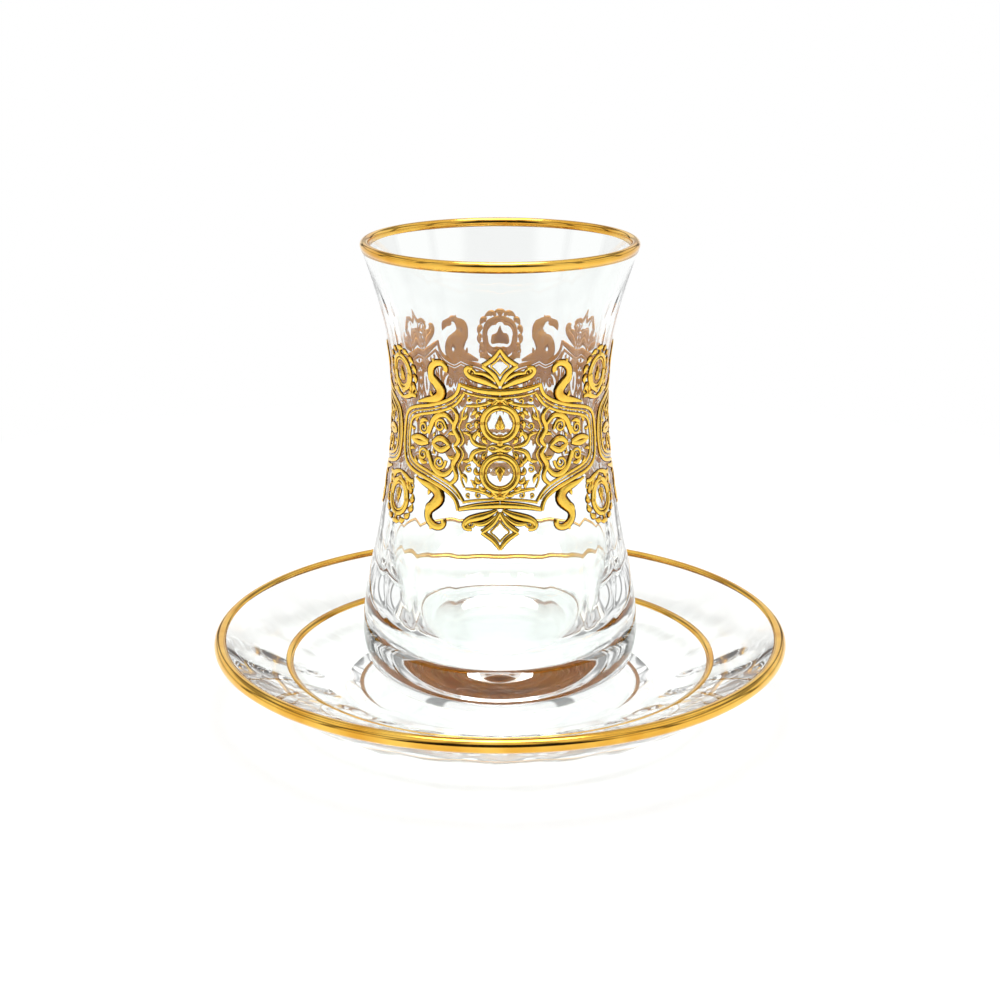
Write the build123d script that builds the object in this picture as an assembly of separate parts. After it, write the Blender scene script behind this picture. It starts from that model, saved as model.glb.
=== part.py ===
from build123d import *

import math
import os

# A waisted tea glass that stands in the well of its saucer, both of clear glass with bands of fired gold.
# Millimetres, +Z up. The origin is on the axis, on the surface that the saucer's foot stands on.
# Every piece is round: its outline is drawn in the XZ plane as (radius, height) and turned about Z.

# Tea glass, with its heights from the ring that it stands on
GLASS_HEIGHT = 99.7
LIP_OUTER_RADIUS = 29.75
LIP_THICKNESS = 1.7
LIP_FLARE_ANGLE = 18.0  # how far the wall leans out from upright at the lip
LIP_STRAIGHT = 1.6  # the straight end of the wall, under the rounded lip
NECK_RADIUS = 24.85  # where the waist starts to open out to the lip
NECK_DEPTH = 18.2  # down from the top of the lip
NECK_WALL = 2.0
WAIST_RADIUS = 23.45
WAIST_DEPTH = 36.2  # down from the top of the lip
WAIST_WALL = 2.05
SHOULDER_RADIUS = 26.9
SHOULDER_HEIGHT = 36.5
SHOULDER_WALL = 2.2
FLANK_RADIUS = 28.8  # between the shoulder and the belly, where the outside bulges most
FLANK_HEIGHT = 27.5
BELLY_RADIUS = 30.75
BELLY_HEIGHT = 12.5
HEEL_RADIUS = 22.0  # where the heel's curve meets the standing ring
STANDING_RING_WIDTH = 4.0
PUNT_RISE = 1.2  # the hollow in the middle of the base
BASE_THICKNESS = 9.8  # from the standing ring up to the floor inside
FLOOR_RADIUS = 17.0  # the flat part of the floor inside
BOWL_RADIUS = 25.3  # the inside at its widest
BOWL_HEIGHT = 29.5

# Saucer, with its heights from the surface that it stands on
SAUCER_RADIUS = 64.0
SAUCER_RIM_THICKNESS = 2.7
SAUCER_RIM_HEIGHT = 16.0  # to the middle of the rounded rim
FLANGE_INNER_RADIUS = 46.0  # where the flange's straight rise to the rim starts
FLANGE_INNER_HEIGHT = 10.23
LEDGE_RADIUS = 36.0  # the round ledge between the flange and the well
LEDGE_RISE = 2.0  # up from the floor of the well
WELL_RADIUS = 30.0
WELL_HEIGHT = 5.5  # the floor that the glass stands on
UNDERSIDE_INNER_RADIUS = 52.0  # where the underside's straight fall from the rim ends
UNDERSIDE_INNER_HEIGHT = 6.9
FOOT_RADIUS = 37.0
FOOT_WIDTH = 4.0
FOOT_FLARE_ANGLE = 12.0  # the rise of the underside where it leaves the foot
FOOT_RECESS = 1.5  # the hollow inside the foot
FOOT_RECESS_SLOPE = 1.5  # how far in the foot's inner side leans over that depth

# Fired gold
GOLD_THICKNESS = 0.12
LIP_GOLD_LAND = 1.0  # how far the band runs on past the rounded lip, inside and out
RIM_GOLD_LAND_ABOVE = 0.7  # how far it runs on past the saucer's rounded rim, on the flange
RIM_GOLD_LAND_BELOW = 0.5
RING_GOLD_RADIUS = 47.5  # the thin ring on the flange, to the middle of its width
RING_GOLD_WIDTH = 1.6


def along(point, angle, distance):
    """The point that lies a distance away, in a direction given in degrees up from outward."""
    turn = math.radians(angle)
    return (point[0] + distance * math.cos(turn), point[1] + distance * math.sin(turn))


def turned(*edges):
    """The solid that a closed outline of edges makes when it is turned about Z."""
    outline = Plane.XZ * make_face(list(edges))
    return revolve(outline, axis=Axis.Z)


def rounded_edge(centre, radius, start_angle, end_angle):
    """An arc round a centre, and its two ends, from one direction to another in degrees."""
    arc = CenterArc(centre, radius, start_angle, end_angle - start_angle)
    return arc, along(centre, start_angle, radius), along(centre, end_angle, radius)


def quarter_ellipse(level_end, upright_end):
    """The curve that leaves one point level and arrives at another upright, further out and up."""
    centre = (level_end[0], upright_end[1])
    width = upright_end[0] - level_end[0]
    height = upright_end[1] - level_end[1]
    return EllipticalCenterArc(centre, width, height, 270, arc_size=90)


def tangent_angle(point, centre, radius, side):
    """The rise in degrees of the line from a point that just touches a circle, on its upper or lower side."""
    distance = math.hypot(centre[0] - point[0], centre[1] - point[1])
    to_centre = math.atan2(centre[1] - point[1], centre[0] - point[0])
    return math.degrees(to_centre + side * math.asin(radius / distance))


# The middle of each rounded edge, and the directions that its two faces look in
lip_half = LIP_THICKNESS / 2
lip_centre = (LIP_OUTER_RADIUS - lip_half, GLASS_HEIGHT - lip_half)
lip_outward = -LIP_FLARE_ANGLE
lip_inward = 180 - LIP_FLARE_ANGLE
wall_down = 270 - LIP_FLARE_ANGLE
wall_up = wall_down - 180
rim_half = SAUCER_RIM_THICKNESS / 2
rim_centre = (SAUCER_RADIUS - rim_half, SAUCER_RIM_HEIGHT)
flange_start = (FLANGE_INNER_RADIUS, FLANGE_INNER_HEIGHT)
underside_start = (UNDERSIDE_INNER_RADIUS, UNDERSIDE_INNER_HEIGHT)
flange_angle = tangent_angle(flange_start, rim_centre, rim_half, 1)
underside_angle = tangent_angle(underside_start, rim_centre, rim_half, -1)
rim_upward = flange_angle + 90
rim_downward = underside_angle - 90


def tea_glass():
    """A thick round base, a full belly, a narrow waist and a flared lip, hollow to a flat floor."""
    lip, outer_end, inner_end = rounded_edge(lip_centre, lip_half, lip_outward, lip_inward)
    outer_wall_end = along(outer_end, wall_down, LIP_STRAIGHT)
    inner_wall_end = along(inner_end, wall_down, LIP_STRAIGHT)
    leaning = along((0, 0), wall_up, 1)
    leaning_down = along((0, 0), wall_down, 1)
    ring_outside = (HEEL_RADIUS, 0)
    ring_inside = (HEEL_RADIUS - STANDING_RING_WIDTH, 0)
    punt_top = (0, PUNT_RISE)
    punt_radius = (ring_inside[0] ** 2 + PUNT_RISE**2) / (2 * PUNT_RISE)
    belly = (BELLY_RADIUS, BELLY_HEIGHT)
    floor_middle = (0, BASE_THICKNESS)
    floor_edge = (FLOOR_RADIUS, BASE_THICKNESS)
    bowl = (BOWL_RADIUS, BOWL_HEIGHT)
    outer_curve = [
        outer_wall_end,
        (NECK_RADIUS, GLASS_HEIGHT - NECK_DEPTH),
        (WAIST_RADIUS, GLASS_HEIGHT - WAIST_DEPTH),
        (SHOULDER_RADIUS, SHOULDER_HEIGHT),
        (FLANK_RADIUS, FLANK_HEIGHT),
        belly,
    ]
    inner_curve = [
        bowl,
        (SHOULDER_RADIUS - SHOULDER_WALL, SHOULDER_HEIGHT),
        (WAIST_RADIUS - WAIST_WALL, GLASS_HEIGHT - WAIST_DEPTH),
        (NECK_RADIUS - NECK_WALL, GLASS_HEIGHT - NECK_DEPTH),
        inner_wall_end,
    ]
    solid = turned(
        lip,
        Line(outer_end, outer_wall_end),
        Spline(outer_curve, tangents=[leaning_down, (0, -1)]),
        quarter_ellipse(ring_outside, belly),
        Line(ring_outside, ring_inside),
        RadiusArc(ring_inside, punt_top, punt_radius),
        Line(punt_top, floor_middle),
        Line(floor_middle, floor_edge),
        quarter_ellipse(floor_edge, bowl),
        Spline(inner_curve, tangents=[(0, 1), leaning]),
        Line(inner_wall_end, inner_end),
    )
    return Pos(0, 0, WELL_HEIGHT) * solid


def flange_height(radius):
    """The height of the flange's straight upper face at a radius."""
    return FLANGE_INNER_HEIGHT + (radius - FLANGE_INNER_RADIUS) * math.tan(math.radians(flange_angle))


def saucer():
    """A flat well, a rising flange with a rounded rim, and a low foot, pressed in one piece."""
    rim, lower_end, upper_end = rounded_edge(rim_centre, rim_half, rim_downward, rim_upward)
    ledge = (LEDGE_RADIUS, WELL_HEIGHT + LEDGE_RISE)
    well_edge = (WELL_RADIUS, WELL_HEIGHT)
    foot_outside = (FOOT_RADIUS, 0)
    foot_inside = (FOOT_RADIUS - FOOT_WIDTH, 0)
    recess_edge = (foot_inside[0] - FOOT_RECESS_SLOPE, FOOT_RECESS)
    recess_middle = (0, FOOT_RECESS)
    well_middle = (0, WELL_HEIGHT)
    downhill = along((0, 0), flange_angle + 180, 1)
    under_downhill = along((0, 0), underside_angle + 180, 1)
    to_foot = along((0, 0), FOOT_FLARE_ANGLE + 180, 1)
    return turned(
        rim,
        Line(upper_end, flange_start),
        Spline([flange_start, ledge, well_edge], tangents=[downhill, (-1, 0)]),
        Line(well_edge, well_middle),
        Line(well_middle, recess_middle),
        Line(recess_middle, recess_edge),
        Line(recess_edge, foot_inside),
        Line(foot_inside, foot_outside),
        Spline([underside_start, foot_outside], tangents=[under_downhill, to_foot]),
        Line(underside_start, lower_end),
    )


def edge_gilding(centre, radius, start_angle, end_angle, start_land, end_land):
    """A skin of gold round a rounded edge, which runs straight on along the faces at its two ends."""
    inner, inner_start, inner_end = rounded_edge(centre, radius, start_angle, end_angle)
    outer, outer_start, outer_end = rounded_edge(centre, radius + GOLD_THICKNESS, start_angle, end_angle)
    inner_first = along(inner_start, start_angle - 90, start_land)
    outer_first = along(outer_start, start_angle - 90, start_land)
    inner_last = along(inner_end, end_angle + 90, end_land)
    outer_last = along(outer_end, end_angle + 90, end_land)
    return turned(
        inner,
        Line(inner_end, inner_last),
        Line(inner_last, outer_last),
        Line(outer_last, outer_end),
        outer,
        Line(outer_start, outer_first),
        Line(outer_first, inner_first),
        Line(inner_first, inner_start),
    )


def glass_rim_gilding():
    """The gold band over the lip of the glass."""
    skin = edge_gilding(lip_centre, lip_half, lip_outward, lip_inward, LIP_GOLD_LAND, LIP_GOLD_LAND)
    return Pos(0, 0, WELL_HEIGHT) * skin


def saucer_rim_gilding():
    """The gold band round the rim of the saucer."""
    lands = (RIM_GOLD_LAND_BELOW, RIM_GOLD_LAND_ABOVE)
    return edge_gilding(rim_centre, rim_half, rim_downward, rim_upward, *lands)


def saucer_ring_gilding():
    """The thin gold ring on the saucer's flange."""
    inner_radius = RING_GOLD_RADIUS - RING_GOLD_WIDTH / 2
    outer_radius = RING_GOLD_RADIUS + RING_GOLD_WIDTH / 2
    inner_low = (inner_radius, flange_height(inner_radius))
    outer_low = (outer_radius, flange_height(outer_radius))
    inner_high = along(inner_low, rim_upward, GOLD_THICKNESS)
    outer_high = along(outer_low, rim_upward, GOLD_THICKNESS)
    return turned(
        Line(inner_low, outer_low),
        Line(outer_low, outer_high),
        Line(outer_high, inner_high),
        Line(inner_high, inner_low),
    )


pieces = {
    "tea_glass": tea_glass(),
    "saucer": saucer(),
    "glass_rim_gilding": glass_rim_gilding(),
    "saucer_rim_gilding": saucer_rim_gilding(),
    "saucer_ring_gilding": saucer_ring_gilding(),
}

os.makedirs("parts", exist_ok=True)
for name, piece in pieces.items():
    piece.label = name
    export_step(piece, f"parts/{name}.step")
    box = piece.bounding_box()
    spans = f"z {box.min.Z:.2f} to {box.max.Z:.2f}, radius {box.max.X:.2f}"
    print(f"{name}: {piece.volume / 1000:.2f} cm3, {spans}")
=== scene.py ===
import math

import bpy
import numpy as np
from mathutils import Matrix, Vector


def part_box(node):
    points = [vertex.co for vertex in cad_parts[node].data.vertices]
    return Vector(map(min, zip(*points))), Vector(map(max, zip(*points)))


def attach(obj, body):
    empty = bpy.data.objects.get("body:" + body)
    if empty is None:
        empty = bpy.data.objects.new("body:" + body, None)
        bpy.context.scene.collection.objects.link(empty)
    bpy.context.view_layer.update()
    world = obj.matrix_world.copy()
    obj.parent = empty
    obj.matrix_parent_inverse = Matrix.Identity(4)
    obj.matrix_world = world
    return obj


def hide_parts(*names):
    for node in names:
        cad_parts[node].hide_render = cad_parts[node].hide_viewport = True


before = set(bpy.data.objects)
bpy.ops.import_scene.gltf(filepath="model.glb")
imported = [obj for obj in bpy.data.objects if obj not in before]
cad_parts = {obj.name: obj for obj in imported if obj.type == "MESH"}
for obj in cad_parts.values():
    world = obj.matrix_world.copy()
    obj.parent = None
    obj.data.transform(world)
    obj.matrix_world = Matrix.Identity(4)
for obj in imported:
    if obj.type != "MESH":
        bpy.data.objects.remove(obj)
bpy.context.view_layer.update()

# %% [markdown]
# # A gilded tea glass on its saucer
#
# The real set is two pieces of pressed soda-lime glass. The glass has a thick base, a full belly, a
# narrow waist and a flared lip. The saucer has a flat well, a rising flange and a rounded rim. Both rims,
# a thin ring on the flange and an ornament round the waist are fired gold.
#
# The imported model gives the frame: where every piece stands and how large it is. Everything below is
# drawn in millimetres and scaled to metres by one value.

MM = 0.001
glass_low, glass_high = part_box("tea_glass")
saucer_low, saucer_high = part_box("saucer")
FOOT_Z = glass_low[2] / MM
GLASS_HEIGHT = (glass_high[2] - glass_low[2]) / MM
BELLY_RADIUS = glass_high[0] / MM
SAUCER_RADIUS = saucer_high[0] / MM
print(f"glass {GLASS_HEIGHT:.1f} mm tall from z {FOOT_Z:.1f}, saucer radius {SAUCER_RADIUS:.1f}")

# %% [markdown]
# ## Helpers
#
# Round ware is drawn as half a section, a list of (radius, height) points, and turned about the axis.
# Long curves through a few measured points are cubic splines, because a curve whose bend changes
# smoothly gives clean reflections, and one built from separate arcs shows a line at each joint.

# %% Points along arcs, quarter ellipses and smooth curves


def arc(centre, radius, first, last, steps):
    """Points on an arc, from one direction to another in degrees."""
    angles = np.radians(np.linspace(first, last, steps + 1))
    return [(centre[0] + radius * math.cos(a), centre[1] + radius * math.sin(a)) for a in angles]


def quarter_ellipse(level_end, upright_end, steps):
    """Points that leave one point level and arrive at another upright."""
    wide = upright_end[0] - level_end[0]
    tall = upright_end[1] - level_end[1]
    turns = np.linspace(0, math.pi / 2, steps + 1)
    return [(level_end[0] + wide * math.sin(t), upright_end[1] - tall * math.cos(t)) for t in turns]


def smooth_curve(knots, first_way, last_way, steps):
    """Points on the cubic spline through the knots that leaves and arrives in the given directions."""
    knots = np.array(knots, float)
    spans = np.linalg.norm(np.diff(knots, axis=0), axis=1)
    count = len(knots)
    ways = np.zeros((count, 2))
    ways[0] = np.array(first_way) / np.linalg.norm(first_way)
    ways[-1] = np.array(last_way) / np.linalg.norm(last_way)
    rows = np.eye(count)
    for i in range(1, count - 1):
        before, after = spans[i - 1], spans[i]
        rows[i, i - 1 : i + 2] = after, 2 * (before + after), before
        rise = after * (knots[i] - knots[i - 1]) / before + before * (knots[i + 1] - knots[i]) / after
        ways[i] = 3 * rise
    ways = np.linalg.solve(rows, ways)
    points = []
    for i, span in enumerate(spans):
        pieces = max(2, round(steps * span / spans.sum()))
        for t in np.linspace(0, 1, pieces, endpoint=False):
            here = (1 + 2 * t) * (1 - t) ** 2 * knots[i] + t**2 * (3 - 2 * t) * knots[i + 1]
            here = here + span * (t * (1 - t) ** 2 * ways[i] - t**2 * (1 - t) * ways[i + 1])
            points.append(tuple(here))
    return points + [tuple(knots[-1])]


def direction(degrees):
    """A unit step in a direction given in degrees up from outward."""
    return (math.cos(math.radians(degrees)), math.sin(math.radians(degrees)))


def moved(point, degrees, distance):
    """The point that lies a distance away in a direction."""
    step = direction(degrees)
    return (point[0] + distance * step[0], point[1] + distance * step[1])


def tangent_angle(point, centre, radius, side):
    """The rise of the line from a point that just touches a circle, on its upper or lower side."""
    across, up = centre[0] - point[0], centre[1] - point[1]
    return math.degrees(math.atan2(up, across) + side * math.asin(radius / math.hypot(across, up)))


# %% Turning an outline into a closed round piece


def select_only(piece):
    """Leaves one object selected and active, in object mode."""
    bpy.ops.object.select_all(action="DESELECT")
    piece.select_set(True)
    bpy.context.view_layer.objects.active = piece


def turned(name, outline, steps, closed=False):
    """The round piece that an outline of (radius, height) in mm makes when it is spun about the axis."""
    mesh = bpy.data.meshes.new(name)
    places = [(r * MM, 0, z * MM) for r, z in outline]
    edges = [(i, i + 1) for i in range(len(places) - 1)]
    if closed:
        edges.append((len(places) - 1, 0))
    mesh.from_pydata(places, edges, [])
    piece = bpy.data.objects.new(name, mesh)
    bpy.context.collection.objects.link(piece)
    select_only(piece)
    bpy.ops.object.mode_set(mode="EDIT")
    bpy.ops.mesh.select_all(action="SELECT")
    bpy.ops.mesh.spin(steps=steps, angle=math.tau, center=(0, 0, 0), axis=(0, 0, 1))
    bpy.ops.mesh.select_all(action="SELECT")
    bpy.ops.mesh.remove_doubles(threshold=0.000002)
    bpy.ops.mesh.normals_make_consistent(inside=False)
    bpy.ops.object.mode_set(mode="OBJECT")
    bpy.ops.object.shade_smooth()
    print(f"{name}: {len(piece.data.polygons)} faces")
    return piece


# %% [markdown]
# ## Materials
#
# Colours are written as sRGB hex values and turned to linear by one function. Clear glass is a
# Principled shader with full transmission. Rays from lamps are let through it, dimmed a little, because
# a renderer without caustics would otherwise give glass the shadow of a solid.

# %% Colour and node helpers


def linear(hex_colour):
    """An sRGB hex colour as a linear RGBA tuple."""
    channels = [int(hex_colour[i : i + 2], 16) / 255 for i in (1, 3, 5)]
    values = [c / 12.92 if c <= 0.04045 else ((c + 0.055) / 1.055) ** 2.4 for c in channels]
    return (*values, 1.0)


def add_node(tree, kind, settings=(), links=()):
    """Adds a node, gives it settings by attribute or input name, and links inputs to other sockets."""
    node = tree.nodes.new(kind)
    for key, value in dict(settings).items():
        if isinstance(key, str) and hasattr(node, key):
            setattr(node, key, value)
        else:
            node.inputs[key].default_value = value
    for key, socket in dict(links).items():
        tree.links.new(socket, node.inputs[key])
    return node


def new_material(name):
    """An empty node material and its output node."""
    material = bpy.data.materials.new(name)
    material.use_nodes = True
    material.node_tree.nodes.clear()
    return material, material.node_tree, add_node(material.node_tree, "ShaderNodeOutputMaterial")


# %% Clear soda-lime glass: pressed, fire polished, with the faint waves that pressing leaves


def clear_glass(name, wave_mm, wave_height_mm, shade):
    """Clear glass whose skin waves by a given length and height, and the colour of its shadow."""
    material, tree, output = new_material(name)
    place = add_node(tree, "ShaderNodeTexCoord")
    waves = add_node(
        tree,
        "ShaderNodeTexNoise",
        {"Scale": 1 / (wave_mm * MM), "Detail": 1.0, "Roughness": 0.4},
        {"Vector": place.outputs["Object"]},
    )
    skin = add_node(
        tree,
        "ShaderNodeBump",
        {"Strength": 1.0, "Distance": wave_height_mm * MM},
        {"Height": waves.outputs[0]},
    )
    glass = add_node(
        tree,
        "ShaderNodeBsdfPrincipled",
        {"Base Color": linear("#FCFEFD"), "Transmission Weight": 1.0, "Roughness": 0.0, "IOR": 1.52},
        {"Normal": skin.outputs[0]},
    )
    clear = add_node(tree, "ShaderNodeBsdfTransparent", {"Color": linear(shade)})
    path = add_node(tree, "ShaderNodeLightPath")
    mix = add_node(
        tree,
        "ShaderNodeMixShader",
        {},
        {0: path.outputs["Is Shadow Ray"], 1: glass.outputs[0], 2: clear.outputs[0]},
    )
    tree.links.new(mix.outputs[0], output.inputs[0])
    return material


tea_glass_material = clear_glass("pressed_soda_lime_glass", 14.0, 0.02, "#F6F7F7")
saucer_material = clear_glass("pressed_soda_lime_saucer_glass", 18.0, 0.03, "#ECEEEE")

# %% [markdown]
# Fired gold is liquid bright gold, brushed on and fired. It is a true metal film, so it has no gloss of
# its own over it, and its colour is in its reflections. Brush marks and the slightly uneven edge of the
# film are what the eye sees on the bands.

# %% Fired gold for the bands


def fired_gold(name, colour, dark, roughness, grain_mm, grain_height_mm, metallic=1.0):
    """Bright fired gold with thin and thick places, and a fine uneven skin."""
    material, tree, output = new_material(name)
    place = add_node(tree, "ShaderNodeTexCoord")
    grain = add_node(
        tree,
        "ShaderNodeTexNoise",
        {"Scale": 1 / (grain_mm * MM), "Detail": 3.0},
        {"Vector": place.outputs["Object"]},
    )
    cloud = add_node(
        tree,
        "ShaderNodeTexNoise",
        {"Scale": 1 / (9 * MM), "Detail": 2.0},
        {"Vector": place.outputs["Object"]},
    )
    tint = add_node(
        tree,
        "ShaderNodeValToRGB",
        {},
        {0: cloud.outputs[0]},
    )
    tint.color_ramp.elements[0].position = 0.3
    tint.color_ramp.elements[0].color = linear(dark)
    tint.color_ramp.elements[1].position = 0.62
    tint.color_ramp.elements[1].color = linear(colour)
    skin = add_node(
        tree,
        "ShaderNodeBump",
        {"Strength": 1.0, "Distance": grain_height_mm * MM},
        {"Height": grain.outputs[0]},
    )
    gold = add_node(
        tree,
        "ShaderNodeBsdfPrincipled",
        {"Metallic": metallic, "Roughness": roughness},
        {"Base Color": tint.outputs[0], "Normal": skin.outputs[0]},
    )
    tree.links.new(gold.outputs[0], output.inputs[0])
    return material


band_gold = fired_gold("fired_bright_gold", "#F7C65A", "#E3A63A", 0.12, 0.8, 0.004)

# %% Raised gold for the ornament, with painted shade on the flanks of its strokes and a painted highlight on their crests


def relief_gold_painted_shading(name):
    """Gold over raised enamel, with painted shade and highlight: its colour is dark where the relief faces
    sideways and bright where it faces straight out.
    """
    material, tree, output = new_material(name)
    rise = add_node(tree, "ShaderNodeAttribute", {"attribute_name": "rise"})
    place = add_node(tree, "ShaderNodeTexCoord")
    grain = add_node(
        tree,
        "ShaderNodeTexNoise",
        {"Scale": 1 / (0.6 * MM), "Detail": 3.0},
        {"Vector": place.outputs["Object"]},
    )
    painted_shade_tone = add_node(tree, "ShaderNodeValToRGB", {}, {0: rise.outputs["Fac"]})
    ramp = painted_shade_tone.color_ramp
    # Painted shade and highlight: places that face sideways go dark brown, places that face straight out go
    # pale gold.
    ramp.elements[0].position = 0.38
    ramp.elements[0].color = linear("#2E1603")
    ramp.elements[1].position = 0.82
    ramp.elements[1].color = linear("#FFD45A")
    middle = ramp.elements.new(0.58)
    middle.color = linear("#D08C22")
    skin = add_node(
        tree,
        "ShaderNodeBump",
        {"Strength": 1.0, "Distance": 0.02 * MM},
        {"Height": grain.outputs[0]},
    )
    gold = add_node(
        tree,
        "ShaderNodeBsdfPrincipled",
        {"Metallic": 1.0, "Roughness": 0.22},
        {"Base Color": painted_shade_tone.outputs[0], "Normal": skin.outputs[0]},
    )
    tree.links.new(gold.outputs[0], output.inputs[0])
    return material


# The ornament's front has painted shade on the flanks of its strokes and a painted highlight on their crests.
ornament_gold_painted_shading = relief_gold_painted_shading("raised_gold_enamel_painted_shading")
# The side that lies on the glass is rougher and less metallic, so it shows through as dull orange gold.
ornament_back = fired_gold("gold_enamel_seen_through_glass", "#F5B04A", "#D98F2E", 0.45, 0.5, 0.01, 0.55)

# %% [markdown]
# ## The tea glass
#
# The half section starts in the middle of the punt under the base, goes out and up the outside, over the
# rounded lip, down the inside and back to the axis over the floor. Turned about the axis it is one closed
# piece of glass, and its two walls bend light as the real ones do.

# %% The sizes of the glass
GOLD = 0.12
LIP_THICKNESS = 1.7
LIP_LEAN = 18.0
LIP_OUTER_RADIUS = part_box("glass_rim_gilding")[1][0] / MM - GOLD
WALL_STRAIGHT = 1.6
NECK_DEPTH, NECK_RADIUS, NECK_WALL = 18.2, 24.85, 2.0
WAIST_DEPTH, WAIST_RADIUS, WAIST_WALL = 36.2, 23.45, 2.05
SHOULDER_HEIGHT, SHOULDER_RADIUS, SHOULDER_WALL = 36.5, 26.9, 2.2
FLANK_HEIGHT, FLANK_RADIUS = 27.5, 28.8
BELLY_HEIGHT = 12.5
BOWL_HEIGHT, BOWL_RADIUS = 29.5, 25.3
BASE_THICKNESS, FLOOR_RADIUS = 9.8, 17.0
HEEL_RADIUS = 22.0
STANDING_RING_INNER = 18.0
PUNT_RISE = 1.2
SEAT_GAP = 0.02
TURNING_STEPS = 192
print(f"lip radius {LIP_OUTER_RADIUS:.2f}, waist radius {WAIST_RADIUS:.2f}")

# %% The section of the glass
lip_half = LIP_THICKNESS / 2
lip_centre = (LIP_OUTER_RADIUS - lip_half, GLASS_HEIGHT - lip_half)
lip_outer = moved(lip_centre, -LIP_LEAN, lip_half)
lip_inner = moved(lip_centre, 180 - LIP_LEAN, lip_half)
outer_wall_end = moved(lip_outer, 270 - LIP_LEAN, WALL_STRAIGHT)
inner_wall_end = moved(lip_inner, 270 - LIP_LEAN, WALL_STRAIGHT)
neck_height = GLASS_HEIGHT - NECK_DEPTH
waist_height = GLASS_HEIGHT - WAIST_DEPTH
belly = (BELLY_RADIUS, BELLY_HEIGHT)
bowl = (BOWL_RADIUS, BOWL_HEIGHT)
floor_edge = (FLOOR_RADIUS, BASE_THICKNESS)
outer_knots = [belly, (FLANK_RADIUS, FLANK_HEIGHT), (SHOULDER_RADIUS, SHOULDER_HEIGHT)]
outer_knots += [(WAIST_RADIUS, waist_height), (NECK_RADIUS, neck_height), outer_wall_end]
inner_knots = [inner_wall_end, (NECK_RADIUS - NECK_WALL, neck_height)]
inner_knots += [(WAIST_RADIUS - WAIST_WALL, waist_height)]
inner_knots += [(SHOULDER_RADIUS - SHOULDER_WALL, SHOULDER_HEIGHT), bowl]
outer_side = smooth_curve(outer_knots, (0, 1), direction(90 - LIP_LEAN), 64)
inner_side = smooth_curve(inner_knots, direction(270 - LIP_LEAN), (0, -1), 56)
punt = [(0, PUNT_RISE), (4.5, 1.15), (9, 0.95), (13.5, 0.58), (17.7, 0.06)]
punt += [(STANDING_RING_INNER, 0), (STANDING_RING_INNER + 0.3, 0)]
heel = [(HEEL_RADIUS - 0.3, 0)] + quarter_ellipse((HEEL_RADIUS, 0), belly, 20)
lip_top = arc(lip_centre, lip_half, -LIP_LEAN, 180 - LIP_LEAN, 12)
floor = list(reversed(quarter_ellipse(floor_edge, bowl, 24))) + [(r, BASE_THICKNESS) for r in (12, 6, 0)]
section = punt + heel[:-1] + outer_side + lip_top + inner_side[:-1] + floor
section = [(r, z + FOOT_Z + SEAT_GAP) for r, z in section]
print(f"the glass's section has {len(section)} points")

# %% Turn it, and press the soft upright panels into the inner wall
tea_glass = turned("tea_glass_clear", section, TURNING_STEPS)
PANELS = 16
PANEL_DEPTH = 0.16
PANEL_TOP = 92.0
PANEL_FOOT = 12.0
PANEL_FADE = 8.0
ARCH_RISE = 7.0
EDGE_SHARPNESS = 1.3
outer_z = np.array([z for r, z in outer_side])
outer_r = np.array([r for r, z in outer_side])


def outer_radius(height):
    """The radius of the glass's outside at a height over its foot."""
    return float(np.interp(height, outer_z, outer_r))


def soft_step(value, start, end):
    """0 before start, 1 after end, and smooth between."""
    t = min(max((value - start) / (end - start), 0.0), 1.0)
    return t * t * (3 - 2 * t)


def panel_push(angle, height):
    """How far the inner wall stands in at a place: most at the edge between two panels."""
    edge = 1 - abs(math.sin(angle * PANELS / 2))
    reach = soft_step(height, PANEL_FOOT, PANEL_FOOT + PANEL_FADE)
    arch = PANEL_TOP - ARCH_RISE * edge
    reach *= 1 - soft_step(height, arch - 3, arch + 2)
    return PANEL_DEPTH * edge**EDGE_SHARPNESS * reach


for vertex in tea_glass.data.vertices:
    x, y, z = vertex.co
    radius = math.hypot(x, y) / MM
    height = z / MM - FOOT_Z
    if height < PANEL_FOOT or height > GLASS_HEIGHT - 3 or radius > outer_radius(height) - 1.0:
        continue
    push = panel_push(math.atan2(y, x), height) / radius
    vertex.co.x *= 1 - push
    vertex.co.y *= 1 - push
tea_glass.data.materials.append(tea_glass_material)
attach(tea_glass, "root")
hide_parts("tea_glass")

# %% [markdown]
# ## The saucer
#
# It is thicker than it looks: the flange's top rises gently to the rim and its underside rises steeply
# from the foot. The underside also has soft flutes that run out from the foot.

# %% The section of the saucer
RIM_THICKNESS = 2.7
RIM_HEIGHT = 16.0
FLANGE_INNER_RADIUS = 46.0
FOOT_RADIUS = 37.0
FOOT_RECESS = 1.5
LEDGE = (36.0, 7.5)
WELL_RADIUS = 30.0
SAUCER_STEPS = 240
rim_half = RIM_THICKNESS / 2
rim_centre = (SAUCER_RADIUS - rim_half, RIM_HEIGHT)
flange_start = (FLANGE_INNER_RADIUS, 10.23)
underside_start = (52.0, 6.9)
flange_angle = tangent_angle(flange_start, rim_centre, rim_half, 1)
underside_angle = tangent_angle(underside_start, rim_centre, rim_half, -1)
rim_upward = flange_angle + 90
rim_downward = underside_angle - 90
outward = direction(underside_angle)
inward = direction(flange_angle + 180)
underside = smooth_curve([(FOOT_RADIUS, 0), underside_start], direction(12), outward, 26)
underside_end = moved(rim_centre, rim_downward, rim_half)
under_run = smooth_curve([underside_start, underside_end], outward, outward, 16)
rim_arc = arc(rim_centre, rim_half, rim_downward, rim_upward, 20)
flange_run = smooth_curve([rim_arc[-1], flange_start], inward, inward, 24)
well_side = smooth_curve([flange_start, LEDGE, (WELL_RADIUS, FOOT_Z)], inward, (-1, 0), 30)
recess = [(r, FOOT_RECESS) for r in (0, 10, 20, 30.9)]
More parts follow.
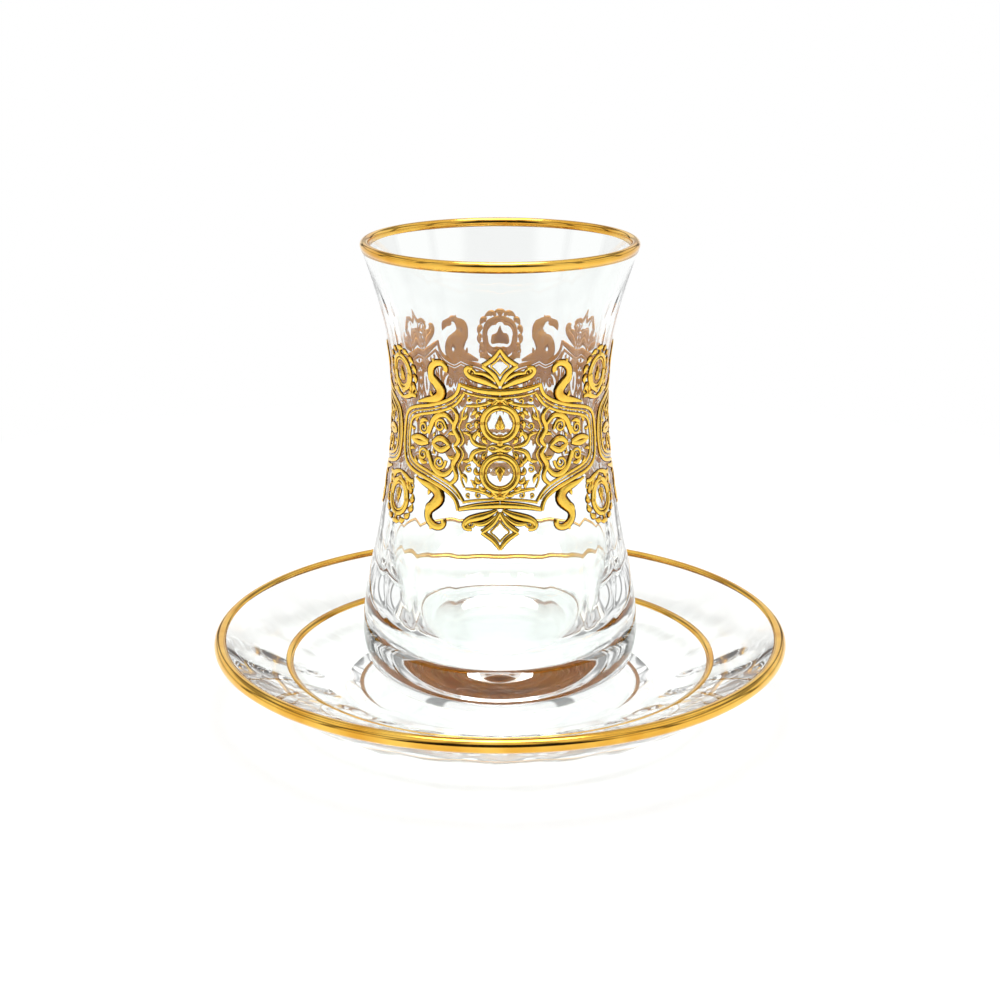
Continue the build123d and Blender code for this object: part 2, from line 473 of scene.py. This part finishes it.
foot = recess + [(31.5, 1.47), (32.9, 0.08), (33.1, 0), (FOOT_RADIUS - 0.2, 0)]
well = [(r, FOOT_Z) for r in (22, 15, 8, 0)]
saucer_section = foot + underside[:-1] + under_run[:-1] + rim_arc[:-1] + flange_run[:-1] + well_side + well
saucer = turned("saucer_clear", saucer_section, SAUCER_STEPS)

# %% Press the flutes into its underside
FLUTES = 24
FLUTE_DEPTH = 0.45
for vertex in saucer.data.vertices:
    x, y, z = vertex.co
    radius = math.hypot(x, y) / MM
    if not 38 < radius < 61 or z / MM > np.interp(radius, [38, 46, 61], [4, 7, 15.2]):
        continue
    reach = soft_step(radius, 38, 44) * (1 - soft_step(radius, 54, 61))
    vertex.co.z += FLUTE_DEPTH * MM * reach * (0.5 - 0.5 * math.cos(FLUTES * math.atan2(y, x)))
saucer.data.materials.append(saucer_material)
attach(saucer, "root")
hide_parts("saucer")

# %% [markdown]
# ## Gold bands
#
# Each band is a thin skin that follows the rounded edge under it. It sinks a hair into the glass, so
# that no air shows between the two.

# %% Skins over the lip, the saucer's rim and the flange
SINK = 0.03
BAND_STEPS = 24


def edge_band(name, centre, radius, first, last, first_land, last_land):
    """A closed skin round a rounded edge, which runs on straight along the faces at both ends."""
    lines = []
    for reach in (radius + GOLD, radius - SINK):
        bend = arc(centre, reach, first, last, BAND_STEPS)
        run_in = moved(bend[0], first - 90, first_land)
        run_out = moved(bend[-1], last + 90, last_land)
        lines.append([run_in] + bend + [run_out])
    outline = lines[0] + list(reversed(lines[1]))
    return turned(name, outline, TURNING_STEPS, closed=True)


lifted = (lip_centre[0], lip_centre[1] + FOOT_Z + SEAT_GAP)
lip_band = edge_band("lip_gold_band", lifted, lip_half, -LIP_LEAN, 180 - LIP_LEAN, 1.0, 1.0)
rim_band = edge_band("saucer_rim_gold_band", rim_centre, rim_half, rim_downward, rim_upward, 0.5, 0.7)
RING_INNER, RING_OUTER = 46.7, 48.3
flange_slope = math.cos(math.radians(flange_angle))
ring_reaches = [(r - FLANGE_INNER_RADIUS) / flange_slope for r in (RING_INNER, RING_OUTER)]
ring_base = [moved(flange_start, flange_angle, reach) for reach in ring_reaches]
ring_outline = [moved(ring_base[0], rim_upward, -SINK), moved(ring_base[1], rim_upward, -SINK)]
ring_outline += [moved(ring_base[1], rim_upward, GOLD), moved(ring_base[0], rim_upward, GOLD)]
ring_band = turned("flange_gold_ring", ring_outline, TURNING_STEPS, closed=True)
cad_skins = {"glass_rim_gilding": lip_band, "saucer_rim_gilding": rim_band, "saucer_ring_gilding": ring_band}
for node, band in cad_skins.items():
    band.data.materials.append(band_gold)
    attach(band, "root")
    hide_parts(node)

# %% [markdown]
# ## The ornament
#
# A traditional arabesque of scrolls, leaves and medallions runs round the waist. One quarter of the
# motif is drawn flat, as strokes with a swelling width. Mirrored left and right, then up and down, it
# makes a full motif, and three of those go round the glass. Last, the flat pattern is wrapped on the wall.
#
# A stroke is a curve with a round bevel and a radius at each point. That gives the swelling line of a
# brush, and flattened it is the low raised line of gilded enamel.

# %% The strokes of one quarter: (x, height over the middle, width) in mm
MIDDLE_Z = 65.5
REPEATS = 3
REFERENCE_RADIUS = 23.9
HALF_REPEAT = math.pi / REPEATS * REFERENCE_RADIUS
RELIEF = 0.30
FULLNESS = 1.35
POINTS_PER_TURN = 7


def spiral(x, z, size, start, turns, width):
    """A volute that winds in from its outer end, thick at first and with a bead at its heart."""
    points = []
    steps = max(6, round(abs(turns) * POINTS_PER_TURN))
    for i in range(steps + 1):
        t = i / steps
        reach = size * (1 - 0.82 * t)
        angle = math.radians(start) + math.tau * turns * t
        points.append((x + reach * math.cos(angle), z + reach * math.sin(angle), width * (1 - 0.35 * t)))
    points.append((x, z, width * 1.5))
    return points


def leaf(x, z, angle, length, width, curl=0.0):
    """A pointed leaf that swells in its middle and bends to one side."""
    points = []
    for t, share in ((0, 0.25), (0.25, 0.8), (0.5, 1.0), (0.75, 0.75), (1.0, 0.12)):
        turn = math.radians(angle + curl * t)
        points.append((x + length * t * math.cos(turn), z + length * t * math.sin(turn), width * share))
    return points


def ring(x, z, radius, width, stretch=1.0):
    """A closed round line."""
    angles = [math.tau * i / 12 for i in range(12)]
    return [(x + radius * math.cos(a), z + stretch * radius * math.sin(a), width) for a in angles]


def line(width, *places):
    """A stroke of one width through the given places."""
    return [(x, z, width) for x, z in places]


open_strokes = [
    # the diamond finial
    [(0, 21.2, 0.5), (0.7, 19.9, 0.8), (1.8, 18.7, 0.9), (3.5, 17.6, 0.9)],
    [(3.5, 17.6, 0.9), (2.0, 16.5, 0.9), (0.9, 15.3, 0.9), (0, 13.4, 0.8)],
    line(0.35, (0, 19.6), (0.8, 18.4), (2.1, 17.6), (0.9, 16.7), (0, 15.4)),
    # leaves beside it
    [(0.5, 12.9, 0.5), (2.2, 13.9, 1.2), (4.2, 14.6, 1.5), (6.4, 15.2, 1.2)]
    + [(7.3, 16.4, 0.9), (6.6, 17.3, 0.8), (5.6, 17.0, 0.9)],
    [(1.0, 14.2, 0.4), (2.2, 15.4, 0.8), (3.6, 16.1, 0.9), (5.0, 16.0, 0.6)],
    spiral(5.9, 16.1, 0.9, 200, -1.1, 0.5),
    # the two bars
    [(0, 11.9, 1.3), (3.0, 12.05, 1.2), (6.0, 12.5, 1.0), (8.6, 13.3, 0.7)],
    line(0.5, (0, 10.7), (3.0, 10.85), (5.8, 11.2), (7.7, 11.7)),
    # the straps
    line(0.75, (8.5, 13.5), (8.8, 11.9), (10.0, 10.4), (12.6, 9.0), (16.4, 7.8))
    + line(0.75, (20.4, 7.0), (23.0, 5.8), (24.2, 3.6), (24.4, 0)),
    line(0.32, (8.3, 11.2), (9.6, 9.6), (12.2, 8.2), (16.0, 7.0))
    + line(0.32, (19.9, 6.2), (22.1, 5.1), (23.2, 3.2), (23.4, 0)),
    line(0.6, (7.6, 11.4), (9.0, 9.0), (11.9, 7.5), (15.7, 6.3))
    + line(0.6, (19.5, 5.4), (21.4, 4.4), (22.3, 2.8), (22.5, 0)),
    # the medallion's point and inner flower
    [(2.5, 7.9, 0.7), (1.3, 9.2, 0.8), (0.45, 10.2, 0.5), (0.2, 10.7, 0.3)],
    leaf(0, 4.0, 90, 3.1, 1.0),
    leaf(0.1, 4.1, 50, 2.1, 0.7, 40),
    leaf(0.1, 3.9, 12, 1.7, 0.55, 60),
    # the link between two medallions
    [(0.0, 0.0, 1.2), (0.9, 0.5, 0.7), (1.9, 0.6, 0.5), (2.6, 0.0, 0.4)],
    leaf(0, 0.2, 58, 1.8, 0.7, 20),
    # wavy stems
    [(9.9, 0, 0.7), (8.6, 1.1, 0.9), (9.4, 2.6, 1.2), (10.3, 4.0, 1.0)]
    + [(9.2, 5.8, 0.8), (9.4, 7.4, 0.9), (10.8, 8.3, 0.6)],
    line(0.4, (8.7, 0), (7.5, 1.1), (8.2, 2.9), (9.1, 4.1), (8.1, 5.8), (8.2, 7.2), (7.4, 8.6)),
    # fillings between the medallions and the stems
    leaf(8.0, 3.0, 165, 2.3, 0.8, 40),
    leaf(8.6, 5.9, 200, 2.4, 0.8, -70),
    leaf(5.4, 1.2, 60, 2.8, 0.9, 60),
    [(2.9, 0.3, 0.5), (4.6, 0.4, 0.8), (6.0, 1.4, 1.0), (6.3, 2.9, 0.6)],
    spiral(6.5, 4.6, 1.0, 250, 1.1, 0.45),
    [(0.3, 10.3, 0.4), (2.4, 9.6, 0.7), (4.6, 8.9, 0.8), (7.2, 8.8, 0.5)],
    spiral(4.4, 10.0, 0.7, 300, 1.0, 0.4),
    spiral(6.5, 10.1, 0.6, 120, -1.0, 0.4),
    leaf(5.2, 8.6, 250, 2.0, 0.8, 50),
    # fillings between the stems and the straps
    spiral(13.4, 3.9, 1.7, 200, -1.6, 0.65),
    spiral(17.9, 2.9, 1.6, 160, 1.5, 0.65),
    [(10.2, 4.6, 0.6), (11.0, 6.0, 1.0), (12.8, 6.6, 1.1), (15.0, 5.4, 1.2)]
    + [(15.9, 3.4, 1.1), (16.4, 1.8, 0.8)],
    [(11.0, 0, 0.9), (12.4, 1.3, 1.3), (14.2, 1.2, 1.2), (15.2, 0, 0.8)],
    [(16.4, 0, 0.9), (18.0, 0.6, 1.2), (20.0, 0.7, 1.1), (21.6, 0, 0.8)],
    leaf(16.6, 4.4, 30, 2.8, 1.0, -50),
    leaf(20.0, 3.6, 60, 1.6, 0.8, 60),
    leaf(11.4, 2.2, 120, 1.8, 0.8, 60),
    leaf(20.4, 2.2, 330, 1.8, 0.8, 50),
    leaf(14.6, 2.4, 300, 1.3, 0.6, 0),
    # the crest over the strap
    [(HALF_REPEAT, 9.2, 0.6), (23.8, 10.3, 0.9), (22.5, 11.8, 0.9), (22.3, 13.6, 0.9)],
    leaf(HALF_REPEAT, 11.7, 90, 3.4, 1.1),
    leaf(HALF_REPEAT - 0.1, 12.0, 130, 2.3, 0.75, -40),
    leaf(HALF_REPEAT - 0.1, 11.8, 168, 1.6, 0.6, -60),
    [(HALF_REPEAT, 17.6, 1.0), (HALF_REPEAT, 18.4, 0.7), (HALF_REPEAT, 19.3, 0.15)],
    [(HALF_REPEAT, 8.1, 0.6), (23.2, 8.5, 1.1), (21.3, 9.5, 1.0), (20.1, 9.1, 0.7)],
    spiral(20.6, 10.2, 1.1, 300, 1.2, 0.5),
    leaf(22.6, 9.6, 150, 2.4, 0.9, -40),
    # the scroll beside the crest
    [(19.6, 8.2, 0.4), (17.4, 8.9, 1.0), (15.2, 9.3, 1.5), (13.3, 10.1, 2.1), (12.9, 11.7, 2.3)]
    + [(14.2, 13.1, 2.0), (15.4, 14.4, 1.6), (15.3, 16.1, 1.5), (14.0, 17.4, 1.4)]
    + [(12.4, 17.6, 1.2), (11.3, 16.7, 1.0), (11.7, 15.8, 1.1)],
    leaf(14.4, 12.6, 30, 3.0, 1.2, 30),
    leaf(14.0, 17.2, 60, 1.3, 0.8, 0),
    leaf(15.2, 9.6, 70, 1.8, 0.8, 0),
    spiral(13.2, 10.9, 0.8, 0, 1.0, 0.4),
]
closed_strokes = [
    ring(0, 5.3, 3.05, 0.5),
    ring(0, 5.3, 3.9, 1.0),
    ring(HALF_REPEAT, 13.6, 2.7, 0.5, 1.1),
    ring(HALF_REPEAT, 13.6, 3.55, 0.9, 1.08),
]
MEDALLION_LOBES, MEDALLION_REACH, LOBE_STEP = 7, 4.2, 22.5
CREST_LOBES, CREST_REACH, CREST_STEP = 7, 4.1, 24
for lobe in range(MEDALLION_LOBES):
    angle = 90 - lobe * LOBE_STEP
    out, up = direction(angle)
    place = (MEDALLION_REACH * out, 5.3 + MEDALLION_REACH * up)
    open_strokes.append(leaf(*place, angle + 60, 1.5, 1.0, -120))
for lobe in range(CREST_LOBES):
    angle = 90 + lobe * CREST_STEP
    out, up = direction(angle)
    place = (HALF_REPEAT + CREST_REACH * out, 13.8 + CREST_REACH * up)
    open_strokes.append(leaf(*place, angle - 60, 1.7, 1.3, 120))
print(f"{len(open_strokes) + len(closed_strokes)} strokes in a quarter of the motif")

# %% Draw them as one curve object, flatten it and mirror it to half a repeat each way
bpy.ops.curve.primitive_nurbs_path_add()
pattern = bpy.context.object
pattern.name = "waist_ornament"
curve = pattern.data
curve.splines.clear()
curve.dimensions = "3D"
curve.bevel_depth = 0.5
curve.bevel_resolution = 1
curve.resolution_u = 3
curve.use_fill_caps = True
for strokes, loop in ((open_strokes, False), (closed_strokes, True)):
    for stroke in strokes:
        spline = curve.splines.new("NURBS")
        spline.points.add(len(stroke) - 1)
        for point, (x, z, width) in zip(spline.points, stroke):
            point.co = (x, z, 0, 1)
            point.radius = width * FULLNESS
        spline.use_cyclic_u = loop
        spline.order_u = 3
        spline.use_endpoint_u = not loop
select_only(pattern)
bpy.ops.object.convert(target="MESH")
pattern = bpy.context.object
print(f"a quarter has {len(pattern.data.polygons)} faces")

# %% Note how straight out each place of the relief faces, which sets the painted shade and highlight of its material, and flatten the round strokes
CREST_DEPTH = 0.45
FOOT_SHARE = -0.15
mesh = pattern.data
rise = mesh.attributes.new("rise", "FLOAT", "POINT")
for vertex in mesh.vertices:
    # How straight out this place faces before flattening; the material paints shade where this is low and a
    # highlight where it is high.
    rise.data[vertex.index].value = max(0.0, vertex.normal.z)
    depth = abs(vertex.co.z)
    side = 1 if vertex.co.z > 0 else FOOT_SHARE
    vertex.co.z = side * RELIEF * min(1.0, depth / CREST_DEPTH) ** 0.7 * min(1.0, 0.5 + depth)

# %% Mirror it left and right and up and down, then wrap a copy on each third of the wall
for axis in (0, 1):
    mirror = pattern.modifiers.new("mirror", "MIRROR")
    mirror.use_axis = (axis == 0, axis == 1, False)
    mirror.use_mirror_merge = False
    select_only(pattern)
    bpy.ops.object.modifier_apply(modifier=mirror.name)
flat = [tuple(v.co) for v in pattern.data.vertices]
faces_glass = [max(flat[i][2] for i in face.vertices) < 0.01 for face in pattern.data.polygons]
for third in range(REPEATS):
    piece = pattern if third == REPEATS - 1 else pattern.copy()
    if piece is not pattern:
        piece.data = pattern.data.copy()
        bpy.context.collection.objects.link(piece)
    piece.name = f"waist_ornament_{third + 1}"
    centre = -math.pi / 2 + math.tau * third / REPEATS
    for vertex, (x, up, out) in zip(piece.data.vertices, flat):
        height = MIDDLE_Z + up - FOOT_Z
        radius = (outer_radius(height) - 0.02 + out) * MM
        angle = centre + x / REFERENCE_RADIUS
        vertex.co = (radius * math.cos(angle), radius * math.sin(angle), (MIDDLE_Z + up) * MM)
    select_only(piece)
    bpy.ops.object.mode_set(mode="EDIT")
    bpy.ops.mesh.select_all(action="SELECT")
    bpy.ops.mesh.normals_make_consistent(inside=False)
    bpy.ops.object.mode_set(mode="OBJECT")
    bpy.ops.object.shade_smooth()
    piece.data.materials.clear()
    piece.data.materials.append(ornament_gold_painted_shading)
    piece.data.materials.append(ornament_back)
    for face, under in zip(piece.data.polygons, faces_glass):
        face.material_index = int(under)
    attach(piece, "root")
print(f"each third of the ornament has {len(pattern.data.polygons)} faces")

# %% [markdown]
# ## Floor, light and camera
#
# Glass shows what is round it. A plain white surround would make it vanish, so the studio has narrow
# dark cards standing round the object, between the white walls. They draw the dark lines along the
# edges of the glass and across the gold.

# %% The floor
FLOOR_GAP = 0.05
FLOOR_GLOW = 0.16
CLEAR_FROM = 0.16
CLEAR_OVER = 0.12
WHITE = linear("#FFFFFF")
bpy.ops.mesh.primitive_plane_add(size=8, location=(0, 0, 0))
ground = bpy.context.object
ground.name = "studio_floor"
select_only(ground)
bpy.ops.transform.translate(value=(0, 0, -FLOOR_GAP * MM))
bpy.ops.object.transform_apply(location=True, rotation=False, scale=False)
material, tree, output = new_material("matt_white_paper")
paper = add_node(tree, "ShaderNodeBsdfDiffuse", {"Color": linear("#E7E7E7")})
path = add_node(tree, "ShaderNodeLightPath")
seen = add_node(
    tree,
    "ShaderNodeMath",
    {"operation": "MAXIMUM"},
    {0: path.outputs["Is Camera Ray"], 1: path.outputs["Is Glossy Ray"]},
)
seen = add_node(
    tree,
    "ShaderNodeMath",
    {"operation": "MAXIMUM"},
    {0: seen.outputs[0], 1: path.outputs["Is Transmission Ray"]},
)
lift = add_node(tree, "ShaderNodeMath", {"operation": "MULTIPLY", 1: FLOOR_GLOW}, {0: seen.outputs[0]})
glow = add_node(tree, "ShaderNodeEmission", {"Color": WHITE}, {"Strength": lift.outputs[0]})
near = add_node(tree, "ShaderNodeAddShader", {}, {0: paper.outputs[0], 1: glow.outputs[0]})
far = add_node(tree, "ShaderNodeEmission", {"Color": WHITE, "Strength": 1.0})
place = add_node(tree, "ShaderNodeTexCoord")
reach = add_node(tree, "ShaderNodeVectorMath", {"operation": "LENGTH"}, {0: place.outputs["Object"]})
fade = add_node(
    tree,
    "ShaderNodeMapRange",
    {"From Min": CLEAR_FROM, "From Max": CLEAR_FROM + CLEAR_OVER, "To Min": 0.0, "To Max": 1.0},
    {"Value": reach.outputs["Value"]},
)
share = add_node(tree, "ShaderNodeMath", {"operation": "MULTIPLY"}, {0: fade.outputs[0], 1: seen.outputs[0]})
both = add_node(tree, "ShaderNodeMixShader", {}, {0: share.outputs[0], 1: near.outputs[0], 2: far.outputs[0]})
tree.links.new(both.outputs[0], output.inputs[0])
ground.data.materials.append(material)
print(f"the floor fades to plain white from {CLEAR_FROM:.2f} m out")

# %% The surround: white walls, narrow dark cards between them, two dark bands round it at different heights, and for reflections a dark room on the camera's side


def dark_band(tree, value, low, high, soft, darkest):
    """1 outside a stretch of a value, and darkest inside it, with soft edges."""
    settings = {"interpolation_type": "SMOOTHSTEP", "From Max": low, "From Min": low - soft}
    rise = add_node(tree, "ShaderNodeMapRange", settings, {"Value": value})
    settings = {"interpolation_type": "SMOOTHSTEP", "From Max": high + soft, "From Min": high}
    fall = add_node(tree, "ShaderNodeMapRange", settings, {"Value": value})
    sides = {0: rise.outputs[0], 1: fall.outputs[0]}
    inside = add_node(tree, "ShaderNodeMath", {"operation": "SUBTRACT"}, sides)
    drop = add_node(tree, "ShaderNodeMath", {"operation": "MULTIPLY", 1: 1 - darkest}, {0: inside.outputs[0]})
    level = add_node(tree, "ShaderNodeMath", {"operation": "SUBTRACT", 0: 1.0}, {1: drop.outputs[0]})
    return level.outputs[0]


world = bpy.data.worlds.new("studio")
bpy.context.scene.world = world
world.use_nodes = True
tree = world.node_tree
tree.nodes.clear()
output = add_node(tree, "ShaderNodeOutputWorld")
place = add_node(tree, "ShaderNodeTexCoord")
parts = add_node(tree, "ShaderNodeSeparateXYZ", {}, {0: place.outputs["Generated"]})
up = parts.outputs[2]
CARDS = 8
sides = {0: parts.outputs[1], 1: parts.outputs[0]}
heading = add_node(tree, "ShaderNodeMath", {"operation": "ARCTAN2"}, sides)
turn = add_node(tree, "ShaderNodeMath", {"operation": "MULTIPLY", 1: CARDS}, {0: heading.outputs[0]})
wave = add_node(tree, "ShaderNodeMath", {"operation": "COSINE"}, {0: turn.outputs[0]})
cards = dark_band(tree, wave.outputs[0], low=-1.2, high=-0.93, soft=0.12, darkest=0.25)
low_band = dark_band(tree, up, low=0.12, high=0.17, soft=0.05, darkest=0.45)
high_band = dark_band(tree, up, low=0.50, high=0.60, soft=0.08, darkest=0.35)
cards_low = add_node(tree, "ShaderNodeMath", {"operation": "MULTIPLY"}, {0: cards, 1: low_band})
level = add_node(tree, "ShaderNodeMath", {"operation": "MULTIPLY"}, {0: cards_low.outputs[0], 1: high_band})
toward = add_node(tree, "ShaderNodeMath", {"operation": "MULTIPLY", 1: -1.0}, {0: parts.outputs[1]})
room = dark_band(tree, toward.outputs[0], low=0.80, high=1.2, soft=0.12, darkest=0.03)
path = add_node(tree, "ShaderNodeLightPath")
mirrored = add_node(tree, "ShaderNodeMath", {"operation": "MULTIPLY"}, {0: level.outputs[0], 1: room})
sides = {0: path.outputs["Is Glossy Ray"], 2: level.outputs[0], 3: mirrored.outputs[0]}
shown = add_node(tree, "ShaderNodeMix", {}, sides)
studio = add_node(tree, "ShaderNodeBackground", {"Color": WHITE}, {"Strength": shown.outputs[0]})
plain = add_node(tree, "ShaderNodeBackground", {"Color": WHITE, "Strength": 1.0})
sides = {0: path.outputs["Is Camera Ray"], 1: studio.outputs[0], 2: plain.outputs[0]}
mix = add_node(tree, "ShaderNodeMixShader", {}, sides)
tree.links.new(mix.outputs[0], output.inputs[0])
print(f"the surround has {CARDS} dark cards and {len(tree.nodes)} nodes")

# %% A large soft lamp overhead, which lays the shadow straight under the saucer
LAMP_PLACE = (0, 0.06, 0.75)
LAMP_WIDTH = 0.40
LAMP_WATTS = 3.2
LAMP_TILT = -4.5
bpy.ops.object.light_add(type="AREA", location=LAMP_PLACE)
key = bpy.context.object
key.name = "overhead_softbox"
key.data.shape = "DISK"
key.data.size = LAMP_WIDTH
key.data.energy = LAMP_WATTS
key.rotation_euler = (math.radians(LAMP_TILT), 0, 0)
print(f"a {LAMP_WATTS} W lamp, {LAMP_WIDTH:.2f} m across, {LAMP_PLACE[2]:.2f} m up")

# %% The camera: a long lens, a little above the rim
CAMERA_PLACE = (0.0, -0.4092, 0.1728)
CAMERA_TILT = 72.92
LENS = 69.5
SENSOR_WIDTH = 36
camera_data = bpy.data.cameras.new("camera")
camera = bpy.data.objects.new("camera", camera_data)
bpy.context.collection.objects.link(camera)
camera.location = CAMERA_PLACE
camera.rotation_euler = (math.radians(CAMERA_TILT), 0, 0)
camera_data.sensor_width = SENSOR_WIDTH
camera_data.lens = LENS
bpy.context.scene.camera = camera
bpy.context.scene.view_settings.view_transform = "Standard"
print(f"camera {-CAMERA_PLACE[1]:.3f} m in front and {CAMERA_PLACE[2]:.3f} m up, {LENS} mm lens")

# %% Enough bounces for light that turns back and forth inside thick glass
cycles = bpy.context.scene.cycles
cycles.max_bounces = 24
cycles.glossy_bounces = 16
cycles.transmission_bounces = 20
cycles.transparent_max_bounces = 32
print(f"up to {cycles.max_bounces} bounces in all")
